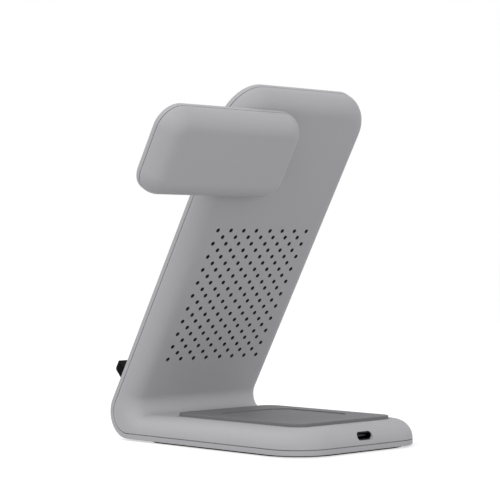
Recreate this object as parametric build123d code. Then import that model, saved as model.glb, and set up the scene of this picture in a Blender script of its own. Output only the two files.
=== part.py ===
"""Three in one wireless charger: a bent two-shell stand with a watch arm on its back.

The part stands on z = 0, with its origin under the middle of the base. The phone face looks
towards -Y and leans back over the base, and the watch arm reaches out along +X.
All sizes are in millimetres.
"""
import os
from math import cos, radians, sin

from build123d import *

# Bent housing
BODY_WIDTH = 79.0
BASE_DEPTH = 115.5
BASE_THICKNESS = 10.5
BASE_CORNER_RADIUS = 17.0
PANEL_LENGTH = 154.1
PANEL_THICKNESS = 10.4
PANEL_CORNER_RADIUS = 16.0
PANEL_ANGLE = 60.0
BEND_RADIUS = 11.2
CROOK_RADIUS = 5.0
EDGE_RADIUS = 8.0
COVER_THICKNESS = 2.1
COVER_EDGE_RADIUS = 0.25
SHELL_WALL = 2.0

# Seam between front cover and rear shell
SEAM_GAP = 0.35
SEAM_DEPTH = 0.8
RIM_HEIGHT = 1.5
RIM_WIDTH = 1.2
RIM_CLEARANCE = 0.15

# Vent field, rows of eight and seven holes in turn
VENT_DIAMETER = 2.0
VENT_PITCH = 7.5
VENT_ROW_PITCH = 3.214
VENT_ROWS = 21
VENTS_PER_ROW = 8
VENT_START = 26.3
VENT_SPREAD = 0.36

# Foot sheet, earbud pad and phone pad
FOOT_STANDOUT = 0.8
FOOT_RECESS = 0.5
FOOT_MARGIN = 2.5
FOOT_FRONT_MARGIN = 19.5
FOOT_FRONT_RADIUS = 10.0
FOOT_BACK_RADIUS = 19.0
PAD_STANDOUT = 1.4
PAD_RECESS = 0.5
PAD_SIDE_MARGIN = 2.5
PAD_FRONT_MARGIN = 20.3
PAD_BACK_MARGIN = 10.4
PAD_CORNER_RADIUS = 6.0
PAD_EDGE_RADIUS = 0.3
PAD_CLEARANCE = 0.1
SEAT_WIDTH = 42.0
SEAT_LENGTH = 44.0
SEAT_CORNER_RADIUS = 9.0
SEAT_DEPTH = 0.4
PHONE_PAD_MARGIN = 8.0
PHONE_PAD_STANDOUT = 0.2
PHONE_PAD_RECESS = 0.6
PHONE_PAD_CORNER_RADIUS = 10.0

# Phone ledge
LEDGE_WIDTH = 65.0
LEDGE_TOP = 11.6
LEDGE_REACH = 13.4
LEDGE_ROOT = 7.3
LEDGE_NOSE = 3.4
LEDGE_NOSE_RADIUS = 2.4
LEDGE_TOP_RADIUS = 1.5
LEDGE_END_RADIUS = 3.0
LEDGE_SCREW_SPACING = 44.0

# Watch arm
ARM_OVERHANG = 43.5
ARM_OVERLAP = 32.5
ARM_HEIGHT = 38.5
ARM_THICKNESS = 10.0
ARM_CORNER_RADIUS = 10.0
ARM_DROP = 6.6
ARM_SCREW_INSET = 9.0
PUCK_MARGIN = 5.25
PUCK_STANDOUT = 1.0
PUCK_DISH = 0.7
PUCK_LIP = 1.2
PUCK_LIP_RADIUS = 0.4
PUCK_FLANGE = 1.5
PUCK_FLANGE_THICKNESS = 1.0
PUCK_CLEARANCE = 0.15

# Screws and the posts that they go into
SCREW_DIAMETER = 2.6
SCREW_HEAD_DIAMETER = 4.5
SCREW_HEAD_HEIGHT = 1.4
SCREW_HEAD_SPARE = 0.1
SCREW_CLEARANCE = 0.4
SCREW_SEAT = 1.0
PILOT_CLEARANCE = 0.1
PILOT_SPARE = 0.5
POST_DIAMETER = 6.0
CASE_SCREW_LENGTH = 5.0
CASE_SCREW_SIDE_INSET = 9.5
CASE_SCREW_BACK_INSET = 17.0
CASE_SCREW_FRONT_INSET = 24.0
LEDGE_SCREW_LENGTH = 6.0
ARM_SCREW_LENGTH = 8.0

# Charging coils, ferrites and their carrier
PHONE_COIL_DIAMETER = 41.0
PHONE_COIL_BORE = 20.0
COIL_THICKNESS = 1.2
LOWER_COIL_RISE = 42.0
COIL_SPACING = 42.0
FERRITE_MARGIN = 3.0
FERRITE_THICKNESS = 0.8
CARRIER_WALL = 1.2
CARRIER_CLEARANCE = 0.3
CARRIER_CORNER_RADIUS = 6.0
EARBUD_COIL_DIAMETER = 36.0
EARBUD_COIL_BORE = 16.0
WATCH_COIL_MARGIN = 2.0
WATCH_COIL_BORE = 12.0
MAGNET_DIAMETER = 9.0

# Boards, socket and weight
FIT_GAP = 0.5
BOARD_THICKNESS = 1.2
BOARD_LENGTH = 34.0
BOARD_CORNER_RADIUS = 5.0
STANDOFF_HEIGHT = 1.0
STANDOFF_DIAMETER = 4.0
STANDOFF_INSET = 5.0
SOCKET_WIDTH = 8.94
SOCKET_HEIGHT = 3.26
SOCKET_LENGTH = 7.4
SOCKET_WALL = 0.35
SOCKET_SETBACK = 1.6
SOCKET_BACK_WALL = 1.0
SOCKET_CLEARANCE = 0.12
TONGUE_WIDTH = 6.7
TONGUE_THICKNESS = 0.7
TONGUE_LENGTH = 4.6
WEIGHT_THICKNESS = 3.0
WEIGHT_FRONT_MARGIN = 26.0
WEIGHT_CORNER_RADIUS = 3.0
WATCH_BOARD_THICKNESS = 1.0
WATCH_BOARD_END_MARGIN = 6.0
WATCH_BOARD_CORNER_RADIUS = 2.0

# Flat leads between the boards
LEAD_THICKNESS = 0.3
LEAD_WIDTH = 5.0
LEAD_BEND = 1.2
LEAD_LANDING = 6.0
LEAD_SLOT_CLEARANCE = 1.0
LEAD_RUN = 14.0
RIBBON_X = 10.0
RIBBON_RISE = 3.0
RIBBON_RUN = 30.0

# Places worked out from the sizes above
SLOPE = radians(PANEL_ANGLE)
OUT_FRONT = Vector(0, -sin(SLOPE), cos(SLOPE))
UP, DOWN = Vector(0, 0, 1), Vector(0, 0, -1)
HALF_WIDTH = BODY_WIDTH / 2
BASE_BACK = BASE_DEPTH / 2
UNDERSIDE = FOOT_STANDOUT
FLOOR = UNDERSIDE + COVER_THICKNESS
BASE_TOP = UNDERSIDE + BASE_THICKNESS
CEILING = BASE_TOP - SHELL_WALL
BEND_CENTRE = Vector(0, BEND_RADIUS - BASE_BACK, UNDERSIDE + BEND_RADIUS)
FACE = Plane(BEND_CENTRE + OUT_FRONT * BEND_RADIUS, x_dir=(1, 0, 0), z_dir=OUT_FRONT)
CAVITY_FRONT = -COVER_THICKNESS
CAVITY_BACK = SHELL_WALL - PANEL_THICKNESS
RIM_INSET = SHELL_WALL + RIM_CLEARANCE
INSIDE_RIM = RIM_INSET + RIM_WIDTH + FIT_GAP

PAD_WIDTH = BODY_WIDTH - 2 * (EDGE_RADIUS + PAD_SIDE_MARGIN)
PAD_BACK = BASE_BACK - PAD_BACK_MARGIN

PILOT_DIAMETER = SCREW_DIAMETER + PILOT_CLEARANCE
SCREW_HOLE_DIAMETER = SCREW_DIAMETER + SCREW_CLEARANCE
HEAD_HOLE_DIAMETER = SCREW_HEAD_DIAMETER + SCREW_CLEARANCE
CASE_SCREW_X = HALF_WIDTH - CASE_SCREW_SIDE_INSET
CASE_SCREW_BACK = BASE_BACK - CASE_SCREW_BACK_INSET
CASE_SCREW_FRONT = CASE_SCREW_FRONT_INSET - BASE_BACK
CASE_SCREW_SEAT = UNDERSIDE + FOOT_RECESS + SCREW_HEAD_SPARE + SCREW_HEAD_HEIGHT
COVER_POST_TOP = CASE_SCREW_SEAT + SCREW_SEAT
INNER_WIDTH = 2 * (CASE_SCREW_X - POST_DIAMETER / 2 - FIT_GAP)

ARM_MIDDLE = PANEL_LENGTH - ARM_DROP - ARM_HEIGHT / 2
ARM_REACH = HALF_WIDTH + ARM_OVERHANG
ARM_INNER_END = HALF_WIDTH - ARM_OVERLAP
ARM_LENGTH = ARM_OVERHANG + ARM_OVERLAP
ARM_INNER_SCREW = ARM_INNER_END + ARM_SCREW_INSET
ARM_OUTER_SCREW = HALF_WIDTH - EDGE_RADIUS - SCREW_HEAD_DIAMETER / 2 - FIT_GAP
ARM_SCREW_X = (ARM_INNER_SCREW + ARM_OUTER_SCREW) / 2
ARM_SCREW_RISE = ARM_HEIGHT - 2 * INSIDE_RIM - POST_DIAMETER
ARM_CAVITY_BACK = SHELL_WALL - ARM_THICKNESS
PUCK_X = ARM_REACH - ARM_HEIGHT / 2
PUCK_DIAMETER = ARM_HEIGHT - 2 * PUCK_MARGIN
PUCK_BACK = CAVITY_FRONT - PUCK_FLANGE_THICKNESS
WATCH_COIL_DIAMETER = PUCK_DIAMETER - 2 * WATCH_COIL_MARGIN
WATCH_COIL_BACK = PUCK_BACK - COIL_THICKNESS
WATCH_FERRITE_BACK = WATCH_COIL_BACK - FERRITE_THICKNESS
WATCH_BOARD_WIDTH = ARM_SCREW_RISE - POST_DIAMETER - 2 * FIT_GAP
WATCH_BOARD_START = ARM_INNER_END + WATCH_BOARD_END_MARGIN
WATCH_BOARD_END = PUCK_X + WATCH_COIL_DIAMETER / 2

LEDGE_SCREW_UP = LEDGE_TOP - LEDGE_ROOT / 2
LOWER_COIL_UP = LEDGE_TOP + LOWER_COIL_RISE
UPPER_COIL_UP = LOWER_COIL_UP + COIL_SPACING
COILS_MIDDLE = LOWER_COIL_UP + COIL_SPACING / 2
FERRITE_WIDTH = PHONE_COIL_DIAMETER + 2 * FERRITE_MARGIN
FERRITE_LENGTH = FERRITE_WIDTH + COIL_SPACING
COIL_BACK = CAVITY_FRONT - COIL_THICKNESS
FERRITE_BACK = COIL_BACK - FERRITE_THICKNESS
CARRIER_BACK = FERRITE_BACK - CARRIER_WALL
CARRIER_WIDTH = FERRITE_WIDTH + 2 * (CARRIER_CLEARANCE + CARRIER_WALL)
CARRIER_LENGTH = FERRITE_LENGTH + 2 * (CARRIER_CLEARANCE + CARRIER_WALL)

BOARD_UNDERSIDE = FLOOR + STANDOFF_HEIGHT
BOARD_TOP = BOARD_UNDERSIDE + BOARD_THICKNESS
BOARD_BACK = BASE_BACK - INSIDE_RIM
BOARD_FRONT = BOARD_BACK - BOARD_LENGTH
SOCKET_MOUTH = BASE_BACK - SOCKET_SETBACK
SOCKET_MIDDLE = BOARD_TOP + SOCKET_HEIGHT / 2
SOCKET_CAVITY = SOCKET_LENGTH - SOCKET_BACK_WALL
WEIGHT_TOP = FLOOR + WEIGHT_THICKNESS
WEIGHT_BACK = BOARD_FRONT - FIT_GAP
WEIGHT_FRONT = WEIGHT_FRONT_MARGIN - BASE_BACK

LEAD_SLOT_WIDTH = LEAD_THICKNESS + 2 * LEAD_BEND + LEAD_SLOT_CLEARANCE


def panel_plane(x, up, out):
    """Plane parallel to the phone face, at a place across, up and out of it."""
    return Plane(FACE.from_local_coords((x, up, out)), x_dir=(1, 0, 0), z_dir=OUT_FRONT)


def arm_plane(x, out=0.0):
    """Plane parallel to the arm's front face, on the arm's middle line."""
    return panel_plane(x, ARM_MIDDLE, out - PANEL_THICKNESS)


def turned_over(plane):
    """The same plane, seen from its other side."""
    return Plane(plane.origin, x_dir=plane.x_dir, z_dir=-plane.z_dir)


def section_point(up, out):
    """Place in the side section (y, z), at a place up the phone face and out of it."""
    point = FACE.from_local_coords((0, up, out))
    return (point.Y, point.Z)


def up_at(height, out):
    """Place up the phone face, on a line out of it, where that line is at a height."""
    return (height - FACE.origin.Z - out * cos(SLOPE)) / sin(SLOPE)


def outer_bend(skin):
    """Sharp corner of the bend's outer side, a skin's thickness inside the housing."""
    return section_point(up_at(UNDERSIDE + skin, -skin), -skin)


def inner_bend(inset):
    """Sharp corner between the panel's back and the base's top, pulled in by an inset."""
    out = inset - PANEL_THICKNESS
    return section_point(up_at(BASE_TOP - inset, out), out)


def round_corner(face, corner, radius):
    """Face with the corner nearest to a point rounded."""
    return fillet(face.vertices().sort_by_distance((*corner, 0))[0], radius)


def bent_section(inset):
    """Side section of the housing, pulled in by an inset all along its back."""
    bend, crook = outer_bend(0), inner_bend(inset)
    top, back = PANEL_LENGTH - inset, BASE_BACK - inset
    corners = [
        bend,
        section_point(top, 0),
        section_point(top, inset - PANEL_THICKNESS),
        crook,
        (back, BASE_TOP - inset),
        (back, UNDERSIDE),
    ]
    section = make_face(Polyline(*corners, close=True))
    section = round_corner(section, bend, BEND_RADIUS)
    return round_corner(section, crook, CROOK_RADIUS + inset)


def bent_faces(block, panel_way, base_way):
    """Faces of the panel and the base that look two ways, and the round one between them."""
    ways = [panel_way, base_way, (panel_way + base_way).normalized()]
    return [face for face in block.faces() if any((face.normal_at() - way).length < 0.01 for way in ways)]


def open_edges(faces):
    """Edges that only one of the faces has."""
    edges = [edge for face in faces for edge in face.edges()]
    return [edge for edge in edges if sum(edge.is_same(other) for other in edges) == 1]


def bent_block(inset=0.0):
    """Solid form of the housing with its rounded corners and soft back edges."""
    block = extrude(Plane.YZ * bent_section(inset), amount=HALF_WIDTH - inset, both=True)
    block = fillet(block.edges().filter_by(Axis.Z), BASE_CORNER_RADIUS - inset)
    top_edges = block.edges().filter_by(Axis((0, 0, 0), OUT_FRONT))
    block = fillet(top_edges, PANEL_CORNER_RADIUS - inset)
    return fillet(open_edges(bent_faces(block, -OUT_FRONT, UP)), EDGE_RADIUS - inset)


def above_skin(skin):
    """All the space behind the phone face and above the underside, less a skin."""
    reach = PANEL_LENGTH + BASE_DEPTH
    bend, top = outer_bend(skin), section_point(reach, -skin)
    outline = Polyline(bend, top, (reach, top[1]), (reach, UNDERSIDE + skin), close=True)
    section = round_corner(make_face(outline), bend, BEND_RADIUS - skin)
    return extrude(Plane.YZ * section, amount=BODY_WIDTH, both=True)


def arm_block(inset=0.0):
    """Solid form of the watch arm with its rounded corners and soft back edge."""
    outline = RectangleRounded(
        ARM_LENGTH - 2 * inset, ARM_HEIGHT - 2 * inset, ARM_CORNER_RADIUS - inset
    )
    block = extrude(arm_plane(ARM_REACH - ARM_LENGTH / 2) * outline, amount=inset - ARM_THICKNESS)
    back_face = block.faces().sort_by(Axis((0, 0, 0), OUT_FRONT))[0]
    return fillet(back_face.edges(), EDGE_RADIUS - inset)


def arm_layer(start, end):
    """All the space between two depths behind the arm's front face."""
    middle = arm_plane(ARM_REACH - ARM_LENGTH / 2, -start)
    return extrude(middle * Rectangle(2 * ARM_LENGTH, 2 * ARM_HEIGHT), amount=start - end)


def post(place, diameter, length):
    """Round bar that starts on a plane and runs along the plane's normal."""
    return extrude(place * Circle(diameter / 2), amount=length)


def ring(place, diameter, bore, thickness):
    """Flat ring that starts on a plane and runs against the plane's normal."""
    return extrude(place * (Circle(diameter / 2) - Circle(bore / 2)), amount=-thickness)


def screw(place, length):
    """Screw whose head stands on a plane and whose shank runs against its normal."""
    return post(place, SCREW_HEAD_DIAMETER, SCREW_HEAD_HEIGHT) + post(place, SCREW_DIAMETER, -length)


def case_screw_places(height=CASE_SCREW_SEAT):
    """Planes that look down at the case screws, at the seat of their heads."""
    spots = [(x, y) for x in (-CASE_SCREW_X, CASE_SCREW_X) for y in (CASE_SCREW_FRONT, CASE_SCREW_BACK)]
    return [Plane((x, y, height), x_dir=(1, 0, 0), z_dir=(0, 0, -1)) for x, y in spots]


def ledge_screw_places():
    """Planes that look out at the ledge screws, on the inside of the front cover."""
    spots = (-LEDGE_SCREW_SPACING / 2, LEDGE_SCREW_SPACING / 2)
    return [turned_over(panel_plane(x, LEDGE_SCREW_UP, CAVITY_FRONT)) for x in spots]


def arm_screw_places(out=CAVITY_BACK):
    """Planes that look back at the arm screws, on the inside of the rear shell."""
    spots = GridLocations(ARM_OUTER_SCREW - ARM_INNER_SCREW, ARM_SCREW_RISE, 2, 2)
    middle = panel_plane(ARM_SCREW_X, ARM_MIDDLE, out)
    return [middle * spot for spot in spots]


def lead_slot(out, depth):
    """Slot for the watch lead, from a place out of the phone face and backwards."""
    outline = RectangleRounded(LEAD_WIDTH + LEAD_SLOT_CLEARANCE, LEAD_SLOT_WIDTH, LEAD_BEND)
    return extrude(panel_plane(ARM_SCREW_X, ARM_MIDDLE, out) * outline, amount=-depth)


def foot_outline():
    """Outline of the foot sheet on the ground."""
    half = HALF_WIDTH - FOOT_MARGIN
    front, back = FOOT_FRONT_MARGIN - BASE_BACK, BASE_BACK - FOOT_MARGIN
    outline = make_face(Polyline((-half, front), (half, front), (half, back), (-half, back), close=True))
    outline = fillet(outline.vertices().group_by(Axis.Y)[-1], FOOT_BACK_RADIUS)
    return fillet(outline.vertices().group_by(Axis.Y)[0], FOOT_FRONT_RADIUS)


def foot_sheet():
    """Rubber sheet set into the underside, on which the charger stands."""
    return extrude(foot_outline(), amount=FOOT_STANDOUT + FOOT_RECESS)


def pad_span():
    """Middle and length of the earbud pad, between the crook and the back edge."""
    front = inner_bend(0)[0] + PAD_FRONT_MARGIN
    return (front + PAD_BACK) / 2, PAD_BACK - front


def pad_block(clearance=0.0):
    """Plain block of the earbud pad in its recess, widened by a clearance."""
    middle, length = pad_span()
    outline = RectangleRounded(
        PAD_WIDTH + 2 * clearance, length + 2 * clearance, PAD_CORNER_RADIUS + clearance
    )
    place = Pos(0, middle, BASE_TOP - PAD_RECESS)
    return extrude(place * outline, amount=PAD_RECESS + PAD_STANDOUT)


def earbud_pad():
    """Raised pad on the base, with a shallow seat in its top."""
    pad = pad_block()
    top = pad.faces().sort_by(Axis.Z)[-1]
    pad = fillet(top.edges(), PAD_EDGE_RADIUS)
    seat = Pos(*top.center()) * RectangleRounded(SEAT_WIDTH, SEAT_LENGTH, SEAT_CORNER_RADIUS)
    return pad - extrude(seat, amount=-SEAT_DEPTH)


def phone_pad_block(clearance=0.0):
    """Soft sheet set into the phone face above the ledge, widened by a clearance."""
    width = BODY_WIDTH - 2 * (PHONE_PAD_MARGIN - clearance)
    length = PANEL_LENGTH - LEDGE_TOP - 2 * (PHONE_PAD_MARGIN - clearance)
    outline = RectangleRounded(width, length, PHONE_PAD_CORNER_RADIUS + clearance)
    place = panel_plane(0, (PANEL_LENGTH + LEDGE_TOP) / 2, -PHONE_PAD_RECESS)
    return extrude(place * outline, amount=PHONE_PAD_RECESS + PHONE_PAD_STANDOUT)


def phone_ledge():
    """Ledge across the foot of the phone face, with a nose that is rounded below."""
    top, nose, root = LEDGE_TOP, LEDGE_TOP - LEDGE_NOSE, LEDGE_TOP - LEDGE_ROOT
    corners = [
        section_point(top, 0),
        section_point(top, LEDGE_REACH),
        section_point(nose, LEDGE_REACH),
        section_point(root, 0),
    ]
    section = make_face(Polyline(*corners, close=True))
    section = round_corner(section, corners[1], LEDGE_TOP_RADIUS)
    section = round_corner(section, corners[2], LEDGE_NOSE_RADIUS)
    ledge = extrude(Plane.YZ * section, amount=LEDGE_WIDTH / 2, both=True)
    front_view = RectangleRounded(LEDGE_WIDTH, 2 * LEDGE_REACH, LEDGE_END_RADIUS)
    plan = Plane(FACE.origin, x_dir=(1, 0, 0), z_dir=FACE.y_dir)
    ledge &= extrude(plan * front_view, amount=LEDGE_TOP)
    for place in ledge_screw_places():
        ledge -= post(place, PILOT_DIAMETER, -LEDGE_SCREW_LENGTH - PILOT_SPARE)
    return ledge


def cover_rim():
    """Raised rim on the front cover that locates the rear shell from inside."""
    rim = bent_block(RIM_INSET) - bent_block(RIM_INSET + RIM_WIDTH)
    return (rim & above_skin(COVER_THICKNESS)) - above_skin(COVER_THICKNESS + RIM_HEIGHT)


def board_standoffs():
    """Short pillars that carry the main board off the cover."""
    spots = GridLocations(INNER_WIDTH - 2 * STANDOFF_INSET, BOARD_LENGTH - 2 * STANDOFF_INSET, 2, 2)
    middle = Plane((0, (BOARD_FRONT + BOARD_BACK) / 2, FLOOR))
    return [post(middle * spot, STANDOFF_DIAMETER, STANDOFF_HEIGHT) for spot in spots]


def front_cover():
    """Bent cover: the phone face, the bend and the underside in one moulding."""
    cover = bent_block() - above_skin(COVER_THICKNESS)
    cover = fillet(open_edges(bent_faces(cover, OUT_FRONT, DOWN)), COVER_EDGE_RADIUS)
    cover += cover_rim() + board_standoffs()
    for place in case_screw_places(COVER_POST_TOP):
        cover += post(place, POST_DIAMETER, COVER_POST_TOP - UNDERSIDE)
    for place in case_screw_places():
        cover -= post(place, HEAD_HOLE_DIAMETER, CASE_SCREW_SEAT)
        cover -= post(place, SCREW_HOLE_DIAMETER, -CASE_SCREW_LENGTH)
    for place in ledge_screw_places():
        cover -= post(place, SCREW_HOLE_DIAMETER, -COVER_THICKNESS)
    cover -= extrude(Pos(0, 0, UNDERSIDE) * foot_outline(), amount=FOOT_RECESS)
    return cover - phone_pad_block(PAD_CLEARANCE)


def vent_spots():
    """Centres of the vent holes, across and up the panel, in rows that take turns."""
    half = VENTS_PER_ROW // 2
    wide = [(i + 0.5) * VENT_PITCH + VENT_SPREAD for i in range(half)]
    narrow = [i * VENT_PITCH for i in range(1, half)]
    rows = ([-x for x in wide] + wide, [-x for x in narrow] + [0.0] + narrow)
    return [(x, VENT_START + row * VENT_ROW_PITCH) for row in range(VENT_ROWS) for x in rows[row % 2]]


def vent_holes():
    """Bars that cut the vent holes through the panel's back wall."""
    holes = [Pos(x, up) * Circle(VENT_DIAMETER / 2) for x, up in vent_spots()]
    inside = panel_plane(0, 0, CAVITY_BACK)
    return extrude(inside * (Sketch() + holes), amount=-2 * SHELL_WALL)


def port_hole():
    """Bar that cuts the socket's opening through the back of the base."""
    outline = SlotOverall(SOCKET_WIDTH + 2 * SOCKET_CLEARANCE, SOCKET_HEIGHT + 2 * SOCKET_CLEARANCE)
    place = Plane((0, BASE_BACK, SOCKET_MIDDLE), x_dir=(1, 0, 0), z_dir=(0, -1, 0))
    return extrude(place * outline, amount=SOCKET_SETBACK + SOCKET_LENGTH + FIT_GAP)


def rear_shell():
    """Bent shell: the vented panel back and the base's top, with soft edges all round."""
    shell = bent_block() & above_skin(COVER_THICKNESS + SEAM_GAP)
    shell += bent_block(SEAM_DEPTH) & above_skin(COVER_THICKNESS)
    shell -= bent_block(SHELL_WALL) & above_skin(COVER_THICKNESS)
    for place in case_screw_places(COVER_POST_TOP):
        shell += post(place, POST_DIAMETER, COVER_POST_TOP - CEILING)
    for place in case_screw_places():
        shell -= post(place, PILOT_DIAMETER, -CASE_SCREW_LENGTH - PILOT_SPARE)
    for place in arm_screw_places():
        shell -= post(place, SCREW_HOLE_DIAMETER, -SHELL_WALL)
    shell -= lead_slot(CAVITY_BACK, SHELL_WALL)
    shell -= pad_block(PAD_CLEARANCE)
    return shell - vent_holes() - port_hole()


def arm_front_cover():
    """Flat cover of the watch arm, which lies on the panel's back."""
    cover = arm_block() & arm_layer(0, COVER_THICKNESS)
    front_face = cover.faces().sort_by(Axis((0, 0, 0), OUT_FRONT))[-1]
    cover = fillet(front_face.edges(), COVER_EDGE_RADIUS)
    rim = arm_block(RIM_INSET) - arm_block(RIM_INSET + RIM_WIDTH)
    cover += rim & arm_layer(COVER_THICKNESS, COVER_THICKNESS + RIM_HEIGHT)
    pillar = turned_over(arm_plane((ARM_SCREW_X + PUCK_X) / 2, CAVITY_FRONT))
    cover += post(pillar, STANDOFF_DIAMETER, CAVITY_FRONT - WATCH_FERRITE_BACK)
    cover -= post(arm_plane(PUCK_X), PUCK_DIAMETER + 2 * PUCK_CLEARANCE, -COVER_THICKNESS)
    for place in arm_screw_places(-PANEL_THICKNESS):
        cover -= post(place, SCREW_HOLE_DIAMETER, -COVER_THICKNESS)
    return cover - lead_slot(-PANEL_THICKNESS, COVER_THICKNESS)


def arm_rear_shell():
    """Soft-edged back of the watch arm, with the posts that the arm screws go into."""
    shell = arm_block() & arm_layer(COVER_THICKNESS + SEAM_GAP, ARM_THICKNESS)
    shell += arm_block(SEAM_DEPTH) & arm_layer(COVER_THICKNESS, ARM_THICKNESS)
    shell -= arm_block(SHELL_WALL) & arm_layer(COVER_THICKNESS, ARM_THICKNESS)
    for place in arm_screw_places(CAVITY_FRONT - PANEL_THICKNESS):
        shell += post(place, POST_DIAMETER, ARM_CAVITY_BACK - CAVITY_FRONT)
    for place in arm_screw_places():
        shell -= post(place, PILOT_DIAMETER, -ARM_SCREW_LENGTH - PILOT_SPARE)
    return shell


def watch_puck():
    """Round charging face with a dished front and a flange behind the arm's cover."""
    radius, lip = PUCK_DIAMETER / 2, PUCK_DIAMETER / 2 - PUCK_LIP
    flange = radius + PUCK_FLANGE
    dish = ThreePointArc(
        (-lip, PUCK_STANDOUT), (0, PUCK_STANDOUT - PUCK_DISH), (lip, PUCK_STANDOUT)
    ).trim(0.5, 1)
    edge = Polyline(
        (lip, PUCK_STANDOUT),
        (radius - PUCK_LIP_RADIUS, PUCK_STANDOUT),
        (radius, PUCK_STANDOUT - PUCK_LIP_RADIUS),
        (radius, CAVITY_FRONT),
        (flange, CAVITY_FRONT),
        (flange, PUCK_BACK),
        (0, PUCK_BACK),
        (0, PUCK_STANDOUT - PUCK_DISH),
    )
    puck = revolve(Plane.XZ * make_face(dish + edge), Axis.Z)
    return arm_plane(PUCK_X).location * puck


def phone_coil(up):
    """Flat wound coil on the inside of the phone face."""
    return ring(panel_plane(0, up, CAVITY_FRONT), PHONE_COIL_DIAMETER, PHONE_COIL_BORE, COIL_THICKNESS)


def phone_ferrite():
    """Ferrite sheet behind both phone coils."""
    outline = RectangleRounded(FERRITE_WIDTH, FERRITE_LENGTH, CARRIER_CORNER_RADIUS - CARRIER_WALL)
    return extrude(panel_plane(0, COILS_MIDDLE, COIL_BACK) * outline, amount=-FERRITE_THICKNESS)


def coil_carrier():
    """Shallow tray that holds the phone coils and their ferrite against the cover."""
    place = panel_plane(0, COILS_MIDDLE, CAVITY_FRONT)
    tray = RectangleRounded(CARRIER_WIDTH, CARRIER_LENGTH, CARRIER_CORNER_RADIUS)
    pocket = offset(tray, -CARRIER_WALL)
    tray = extrude(place * tray, amount=CARRIER_BACK - CAVITY_FRONT)
    return tray - extrude(place * pocket, amount=FERRITE_BACK - CAVITY_FRONT)


def earbud_coil():
    """Flat wound coil under the earbud pad."""
    place = Plane((0, pad_span()[0], CEILING))
    return ring(place, EARBUD_COIL_DIAMETER, EARBUD_COIL_BORE, COIL_THICKNESS)


def earbud_ferrite():
    """Ferrite disc under the earbud coil."""
    place = Plane((0, pad_span()[0], CEILING - COIL_THICKNESS))
    return post(place, EARBUD_COIL_DIAMETER + 2 * FERRITE_MARGIN, -FERRITE_THICKNESS)


def watch_board():
    """Long board in the arm, from the lead's slot to behind the puck."""
    length = WATCH_BOARD_END - WATCH_BOARD_START
    middle = arm_plane((WATCH_BOARD_START + WATCH_BOARD_END) / 2, WATCH_FERRITE_BACK)
    outline = RectangleRounded(length, WATCH_BOARD_WIDTH, WATCH_BOARD_CORNER_RADIUS)
    return extrude(middle * outline, amount=-WATCH_BOARD_THICKNESS)


def main_board():
    """Board on the cover's pillars at the back of the base, behind the weight."""
    middle = Pos(0, (BOARD_FRONT + BOARD_BACK) / 2, BOARD_UNDERSIDE)
    outline = RectangleRounded(INNER_WIDTH, BOARD_LENGTH, BOARD_CORNER_RADIUS)
    return extrude(middle * outline, amount=BOARD_THICKNESS)


def usb_c_socket():
    """Metal shell of the socket on the main board, closed at its inner end."""
    place = Plane((0, SOCKET_MOUTH, SOCKET_MIDDLE), x_dir=(1, 0, 0), z_dir=(0, -1, 0))
    outline = SlotOverall(SOCKET_WIDTH, SOCKET_HEIGHT)
    mouth = SlotOverall(SOCKET_WIDTH - 2 * SOCKET_WALL, SOCKET_HEIGHT - 2 * SOCKET_WALL)
    return extrude(place * outline, amount=SOCKET_LENGTH) - extrude(place * mouth, amount=SOCKET_CAVITY)


def usb_c_tongue():
    """Contact tongue in the middle of the socket, on its inner end."""
    end = Plane((0, SOCKET_MOUTH - SOCKET_CAVITY, SOCKET_MIDDLE), x_dir=(-1, 0, 0), z_dir=(0, 1, 0))
    return extrude(end * Rectangle(TONGUE_WIDTH, TONGUE_THICKNESS), amount=TONGUE_LENGTH)


def counterweight():
    """Steel plate on the floor of the base."""
    middle = Pos(0, (WEIGHT_FRONT + WEIGHT_BACK) / 2, FLOOR)
    outline = RectangleRounded(INNER_WIDTH, WEIGHT_BACK - WEIGHT_FRONT, WEIGHT_CORNER_RADIUS)
    return extrude(middle * outline, amount=WEIGHT_THICKNESS)


def flat_lead(x, points, radii):
    """Flat lead of one thickness along a rounded path in the side section."""
    path = FilletPolyline(*points, radius=radii)
    strip = Plane.YZ * trace(path, LEAD_THICKNESS)
    return Pos(x, 0, 0) * extrude(strip, amount=LEAD_WIDTH / 2, both=True)


def coil_ribbon():
    """Ribbon from the main board, over the weight and round the bend, to the coil carrier."""
    half = LEAD_THICKNESS / 2
    out, low, high = CARRIER_BACK - half, BOARD_TOP + half, WEIGHT_TOP + half
    carrier_start = COILS_MIDDLE - CARRIER_LENGTH / 2
    points = [
        (BOARD_FRONT + LEAD_LANDING + 2 * RIBBON_RISE, low),
        (BOARD_FRONT + 2 * RIBBON_RISE, low),
        (BOARD_FRONT + RIBBON_RISE, high),
        section_point(up_at(high, out), out),
        section_point(carrier_start + RIBBON_RUN, out),
    ]
    return flat_lead(RIBBON_X, points, [LEAD_BEND, LEAD_BEND, BEND_RADIUS + out])


def watch_lead():
    """Lead from the coil carrier, through the slot in the panel, to the watch board."""
    half = LEAD_THICKNESS / 2
    front, back = CARRIER_BACK - half, WATCH_FERRITE_BACK - PANEL_THICKNESS + half
    carrier_end = COILS_MIDDLE + CARRIER_LENGTH / 2
    points = [
        section_point(carrier_end - LEAD_RUN, front),
        section_point(ARM_MIDDLE, front),
        section_point(ARM_MIDDLE, back),
        section_point(ARM_MIDDLE + LEAD_LANDING, back),
    ]
    return flat_lead(ARM_SCREW_X, points, [LEAD_BEND, LEAD_BEND])


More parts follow.
